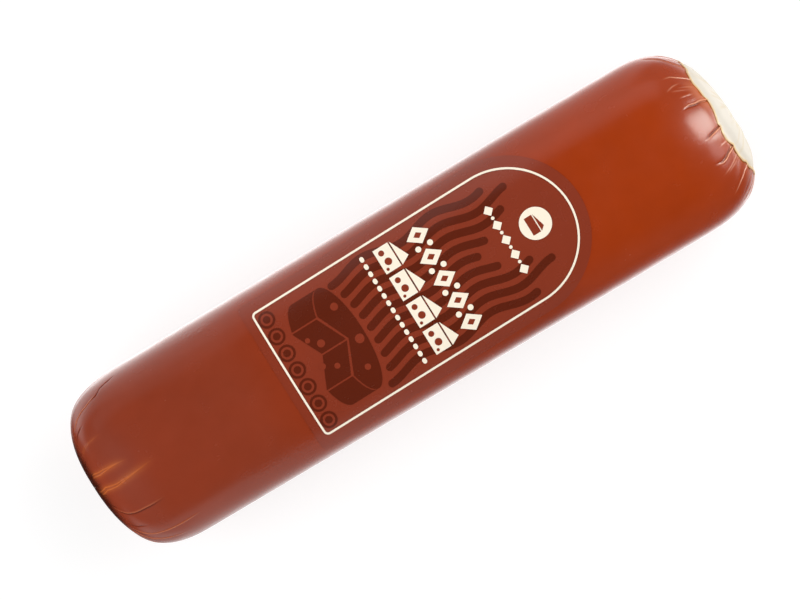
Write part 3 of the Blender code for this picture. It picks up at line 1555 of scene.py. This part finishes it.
@dataclass
class ArchLabel:
    """The printed label: a maroon arch with a cream line, a smoking cheese wheel and wedges."""

    skin: LogSkin
    maroon: InkFinish = InkFinish("ink_maroon", srgb(138, 54, 32))
    dark: InkFinish = InkFinish("ink_dark", srgb(97, 33, 14))
    cream: InkFinish = InkFinish("ink_cream", srgb(255, 243, 222), cloud=0.01)
    spot: InkFinish = InkFinish("ink_spot", srgb(138, 54, 32))
    base: float = -76.0 * MM
    arch_centre: float = 56.4 * MM
    half: float = 41.5 * MM
    line_base: float = -71.4 * MM
    line_half: float = 35.6 * MM
    line_width: float = 1.05 * MM
    disc_row: float = 72.0 * MM
    small_row: float = 55.5 * MM
    large_row: float = 19.6 * MM
    wedge_row: float = 3.6 * MM
    bead_row: float = -10.2 * MM
    log_row: float = -65.8 * MM
    beads: int = 15
    logs: int = 7

    def wheel(self) -> list[Outline]:
        """A cheese wheel with a slice taken out of its front, over a row of round log ends.

        Returns:
            The outlines.
        """
        u, half, drop, tilt, gap = -36.5 * MM, 29 * MM, 14 * MM, 0.3, 0.9 * MM

        def rim(degrees: float) -> tuple[float, float]:
            """A point of the wheel's top edge."""
            angle = math.radians(degrees)
            return u + tilt * half * math.sin(angle), half * math.cos(angle)

        top = [rim(angle) for angle in range(-54, 235, 4)] + [(u + 0.5 * gap, 0.0)]
        shapes = [top]
        for first, last in ((180, 234), (306, 360)):
            upper = [rim(angle) for angle in range(first, last + 1, 6)]
            shapes.append(
                [(a - gap, b) for a, b in upper] + [(a - gap - drop, b) for a, b in upper[::-1]]
            )
        for angle, sign in ((234, -1), (306, 1)):
            far_u, far_v = rim(angle)
            shapes.append(
                [
                    (u - gap, sign * 0.5 * gap),
                    (far_u - 1.4 * gap, far_v - sign * gap),
                    (far_u - 1.4 * gap - drop, far_v - sign * gap),
                    (u - gap - drop, sign * 0.5 * gap),
                ]
            )
        return shapes + self.log_discs(4.3, 36)

    def log_discs(self, radius: float, count: int) -> list[Outline]:
        """A disc on each log end of the row.

        Args:
            radius: The discs' radius, in millimetres.
            count: Points round each disc.

        Returns:
            The discs.
        """
        places = Shapes.row(self.logs, 9.7)
        return [Shapes.disc(self.log_row, v, radius * MM, count) for v in places]

    def smoke(self) -> list[Outline]:
        """Wavy lines of smoke that rise from the wheel, each to its own height.

        Returns:
            The outlines.
        """
        shapes = []
        for k, top in enumerate((57, 68, 61, 46, 39, 45, 60, 70, 55)):
            across = (k - 4) * 7.1
            start = -32.5 + 8.7 * math.sqrt(1 - (across / 30) ** 2)
            count = 48
            line = []
            for step in range(count + 1):
                along = start + (top - start) * step / count
                line.append((along * MM, (across + 2.1 * math.sin(along / 6.4)) * MM))
            shapes.append(Shapes.band(line, 4.0 * MM))
        return shapes

    def frieze(self) -> list[Outline]:
        """The rows of cream ornament across the middle of the label.

        Returns:
            The outlines.
        """
        shapes = [Shapes.disc(self.disc_row, 0.7 * MM, 8.2 * MM, 64)]
        for v in Shapes.row(5, 8.4):
            shapes.append(Shapes.lozenge(self.small_row, v, 5.4 * MM, 5.6 * MM))
        for v in Shapes.row(4, 8.4):
            shapes.append(Shapes.disc(self.small_row, v, 0.9 * MM, 16))
        for v in Shapes.row(5, 12.6):
            shapes.append(Shapes.lozenge(self.large_row, v, 12.6 * MM, 9.4 * MM))
        for v in Shapes.row(4, 12.6):
            for rise in (-3.4 * MM, 3.4 * MM):
                shapes.append(Shapes.disc(self.large_row + rise, v, 1.5 * MM, 20))
        for v in Shapes.row(4, 15.6):
            shapes += Shapes.slice(self.wedge_row, v, 14.4 * MM, 13.4 * MM, 0.8 * MM)
        for v in Shapes.row(self.beads, 4.2):
            shapes.append(Shapes.pill(self.bead_row, v, 2.2 * MM, 2.9 * MM))
        return shapes

    def holes(self) -> list[Outline]:
        """What is left maroon on the cream ornament: holes, and the slice on the cream disc.

        Returns:
            The outlines.
        """
        shapes = Shapes.slice(71.6 * MM, 0.7 * MM, 7.0 * MM, 9.6 * MM, 0.6 * MM)
        for v in Shapes.row(5, 12.6):
            shapes.append(Shapes.lozenge(self.large_row, v, 4.6 * MM, 3.4 * MM))
        for v in Shapes.row(4, 15.6):
            shapes.append(Shapes.disc(-0.4 * MM, v - 3.6 * MM, 1.5 * MM, 24))
            shapes.append(Shapes.disc(0.6 * MM, v + 1.6 * MM, 1.9 * MM, 28))
            shapes.append(Shapes.disc(-1.6 * MM, v + 4.9 * MM, 0.8 * MM, 16))
        return shapes

    def rings(self) -> list[Outline]:
        """The growth rings of the log ends and the holes in the wheel, in maroon.

        Returns:
            The outlines.
        """
        shapes = self.log_discs(3.1, 30)
        for u, v, radius in (
            (-49, -5, 2.0), (-54, -9.6, 1.3), (-48, 8.6, 1.5), (-54.5, 5, 1.8), (-34, -17, 2.0),
            (-31.5, 3, 2.4), (-35.5, 17, 1.6),
        ):
            shapes.append(Shapes.disc(u * MM, v * MM, radius * MM, 22))
        return shapes

    def build(self) -> list[bpy.types.Object]:
        """Makes all the label's layers.

        Returns:
            The finished pieces, from the bottom layer up.
        """
        panel = Shapes.arch(self.base, self.arch_centre, self.half, 3 * MM)
        line = Shapes.arch(self.line_base, self.arch_centre, self.line_half, 2.6 * MM)
        pieces = []
        for name, outlines, lift, ink, more in (
            ("label_panel", [panel], 0.16, self.maroon, {"thickness": 0.14 * MM}),
            ("label_smoke", self.smoke(), 0.22, self.dark, {}),
            ("label_wheel", self.wheel(), 0.27, self.dark, {}),
            ("label_rings", self.rings(), 0.32, self.spot, {}),
            ("label_hearts", self.log_discs(1.9, 24), 0.37, self.dark, {}),
            ("label_line", [line], 0.38, self.cream, {"line_width": self.line_width}),
            ("label_frieze", self.frieze(), 0.38, self.cream, {}),
            ("label_holes", self.holes(), 0.43, self.spot, {}),
        ):
            pieces.append(PrintLayer(self.skin, name, outlines, lift * MM, ink, **more).build())
        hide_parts("label")
        return pieces


@dataclass(frozen=True)
class Softbox:
    """A rectangular lamp, which matt surfaces, glossy ones or both see."""

    name: str
    place: tuple[float, float, float]
    target: tuple[float, float, float]
    size: tuple[float, float]
    radiance: float
    tint: Colour = (1.0, 1.0, 1.0)
    shines: bool = False
    reflects: bool = True

    def hang(self) -> bpy.types.Object:
        """Hangs the lamp.

        Returns:
            The light, which the camera doesn't see.
        """
        data = bpy.data.lights.new(self.name, "AREA")
        data.shape = "RECTANGLE"
        data.size, data.size_y = self.size
        data.energy = self.radiance * math.pi * self.size[0] * self.size[1]
        data.color = self.tint
        light = bpy.data.objects.new(self.name, data)
        facing = Vector(self.place) - Vector(self.target)
        light.location = self.place
        light.rotation_euler = facing.to_track_quat("Z", "Y").to_euler()
        light.visible_camera = False
        light.visible_diffuse = self.shines
        light.visible_glossy = self.reflects
        bpy.context.scene.collection.objects.link(light)
        return light


@dataclass
class Studio:
    """A pale table, soft light and a long lens straight above the log."""

    picture_wide: float = 0.400
    lens: float = 300.0
    sensor: float = 36.0
    aim: tuple[float, float] = (-4.7 * MM, 2.7 * MM)
    roll: float = math.radians(-30.7)
    aim_height: float = 45.6 * MM
    room_middle: float = 0.12
    room_open: float = 1.25
    room_closed: float = 1.4
    gleam_places: tuple[float, ...] = (0.056, 0.073, 0.087, 0.101, 0.135, 0.186, 0.311)
    gleam_front_closed: tuple[float, ...] = (1.25, 1.15, 0.92, 0.75, 0.62, 0.62, 0.7)
    gleam_front_open: tuple[float, ...] = (2.1, 1.2, 0.45, 0.17, 0.05, 0.03, 0.04)
    gleam_back_closed: tuple[float, ...] = (3.0, 2.3, 1.8, 1.5, 1.0, 0.75, 0.6)
    gleam_back_open: tuple[float, ...] = (2.6, 1.6, 1.0, 0.75, 0.65, 0.6, 0.6)
    gleam_end: float = 6.0
    table_grey: float = 0.36
    table_glow: float = 0.72
    ramp_scale: float = 4.0
    corner_gain: float = 0.85

    def floor(self) -> bpy.types.Object:
        """Lays the pale table, lit from below like a light table.

        Returns:
            The table, which isn't part of the object.
        """
        Bench.clear_selection()
        bpy.ops.mesh.primitive_plane_add(size=4.0, location=(0, 0, 0))
        table = bpy.context.object
        table.name = "table_top"
        sketch = Sketch("table_white")
        sketch.set("Base Color", sketch.mottle((self.table_grey,) * 3, 3.0, 0.01))
        sketch.set("Roughness", 0.9)
        sketch.set("Specular IOR Level", 0.0)
        sketch.set("Emission Color", (1.0, 1.0, 1.0))
        sketch.set("Emission Strength", self.table_glow)
        sketch.material.cycles.emission_sampling = "NONE"
        table.data.materials.append(sketch.material)
        table.visible_glossy = False
        return table

    def gleam_profile(
        self, sketch: Sketch, off: bpy.types.NodeSocket, levels: tuple[float, ...]
    ) -> bpy.types.NodeSocket:
        """How bright the mirrored table is at each distance from the log's middle.

        Args:
            sketch: The card's material.
            off: The distance, in metres.
            levels: The brightness at each of gleam_places.

        Returns:
            The brightness divided by ramp_scale, because a ramp's colours end at 1.
        """
        reach = 0.5
        share = sketch.remap(off, 0.0, reach, 0.0, 1.0)
        stops = [
            (place / reach, (level / self.ramp_scale,) * 3)
            for place, level in zip(self.gleam_places, levels)
        ]
        return sketch.ramp(share, stops)

    def gleam(self) -> bpy.types.Object:
        """Lays the card whose brightness the glossy skin mirrors along its lower sides.

        Returns:
            The card, which only glossy surfaces see.
        """
        Bench.clear_selection()
        bpy.ops.mesh.primitive_plane_add(size=3.0, location=(0, 0, 0.0004))
        card = bpy.context.object
        card.name = "gleam_card"
        sketch = Sketch("gleam")
        x, y = sketch.along("X"), sketch.along("Y")
        off = sketch.maths("ABSOLUTE", y)
        openness = sketch.remap(x, -0.15, 0.03, 0.0, 1.0)
        front, back = (
            sketch.blend(
                openness,
                self.gleam_profile(sketch, off, closed),
                self.gleam_profile(sketch, off, opened),
            )
            for closed, opened in (
                (self.gleam_front_closed, self.gleam_front_open),
                (self.gleam_back_closed, self.gleam_back_open),
            )
        )
        total = sketch.blend(sketch.maths("GREATER_THAN", y, 0.0), front, back)
        total = sketch.maths("MULTIPLY", total, self.ramp_scale)
        # Past the closed end the card is dark in the middle and lit beside the corners.
        corner = sketch.maths(
            "MULTIPLY",
            sketch.remap(off, 0.05, 0.10, 0.0, self.corner_gain),
            sketch.remap(x, -0.36, -0.24, 0.0, 1.0),
        )
        reach = sketch.maths("MAXIMUM", sketch.remap(x, -0.20, -0.165, 0.0, 1.0), corner)
        level = sketch.maths("MULTIPLY", total, reach)
        level = sketch.maths("MULTIPLY", level, sketch.remap(x, 0.18, 0.20, 1.0, 0.35))
        # The bright patch that the skin by the open rim mirrors, weaker towards +Y.
        patch = sketch.maths(
            "MULTIPLY",
            sketch.remap(x, 0.30, 0.45, 0.0, self.gleam_end),
            sketch.remap(off, 0.25, 0.18, 0.0, 1.0),
        )
        patch = sketch.maths("MULTIPLY", patch, sketch.remap(y, 0.055, 0.02, 0.25, 1.0))
        level = sketch.maths("ADD", level, patch)
        sketch.set("Base Color", (0.0, 0.0, 0.0))
        sketch.set("Specular IOR Level", 0.0)
        sketch.set("Emission Color", (1.0, 1.0, 1.0))
        sketch.set("Emission Strength", level)
        sketch.material.cycles.emission_sampling = "NONE"
        card.data.materials.append(sketch.material)
        card.visible_camera = False
        card.visible_diffuse = False
        card.visible_shadow = False
        return card

    def world(self) -> None:
        """Fills the room with soft light, stronger from both ends, that glossy skin ignores."""
        world = bpy.data.worlds.new("soft_room")
        bpy.context.scene.world = world
        world.use_nodes = True
        nodes = Nodes(world.node_tree)
        direction = nodes.add("TexCoord").outputs["Generated"]
        x = nodes.add("SeparateXYZ", {0: direction}).outputs["X"]
        level = self.room_middle
        for start, end, strength in ((0.2, 0.6, self.room_open), (-0.2, -0.6, self.room_closed)):
            level = nodes.maths("ADD", level, nodes.remap(x, start, end, 0.0, strength))
        background = world.node_tree.nodes["Background"]
        nodes.feed(background.inputs["Color"], (1.0, 1.0, 1.0))
        nodes.feed(background.inputs["Strength"], level)
        world.cycles_visibility.glossy = False

    def camera(self) -> bpy.types.Object:
        """Sets the camera straight above, turned so that the log slopes as in the photograph.

        Returns:
            The camera.
        """
        data = bpy.data.cameras.new("above")
        data.lens = self.lens
        data.sensor_width = self.sensor
        data.clip_end = 20.0
        camera = bpy.data.objects.new("above", data)
        distance = self.picture_wide * self.lens / self.sensor
        camera.location = (self.aim[0], self.aim[1], self.aim_height + distance)
        camera.rotation_euler = (0.0, 0.0, self.roll)
        bpy.context.scene.collection.objects.link(camera)
        bpy.context.scene.camera = camera
        return camera

    def build(self) -> None:
        """Makes the camera, the table and the lights."""
        self.camera()
        self.floor()
        self.gleam()
        self.world()
        middle, tip = (0.0, 0.0, 0.05), (0.165, 0.0, 0.085)
        side, low = (1.1, 1.1), 0.08
        for lamp in (
            Softbox("open_light", (1.0, 0.14, 1.0), middle, side, 1.3, shines=True, reflects=False),
            Softbox(
                "closed_light", (-1.0, 0.14, 1.0), middle, side, 0.9, shines=True, reflects=False
            ),
            Softbox("end_light", (1.0, 0.05, 0.52), tip, (0.52, 0.86), 12.6, (0.86, 1.0, 0.95)),
            Softbox("end_fill", (0.92, -0.42, 0.36), tip, (0.34, 0.6), 3.5),
            Softbox("back_glow", (0.0, 1.3, 0.22), (0.0, 0.0, low), (2.6, 0.5), 0.3),
            Softbox("back_open", (0.36, 1.3, 0.36), (0.1, 0.0, low), (0.66, 0.7), 0.6),
        ):
            lamp.hang()
        view = bpy.context.scene.view_settings
        view.view_transform = "Standard"
        view.look = "None"


def main() -> None:
    """Builds the log's pieces and the studio."""
    logging.basicConfig(level=logging.INFO, format="%(name)s: %(message)s")
    skin = LogSkin()
    casing = CreasedCasing(skin, shown_folds() + hidden_folds()).build()
    LOG.info("%s: %d faces", casing.name, len(casing.data.polygons))
    core = CheeseCore(skin).build()
    LOG.info("%s: %d faces", core.name, len(core.data.polygons))
    for piece in ArchLabel(skin).build():
        LOG.info("%s: %d faces", piece.name, len(piece.data.polygons))
    Studio().build()


if __name__ == "__main__":
    main()
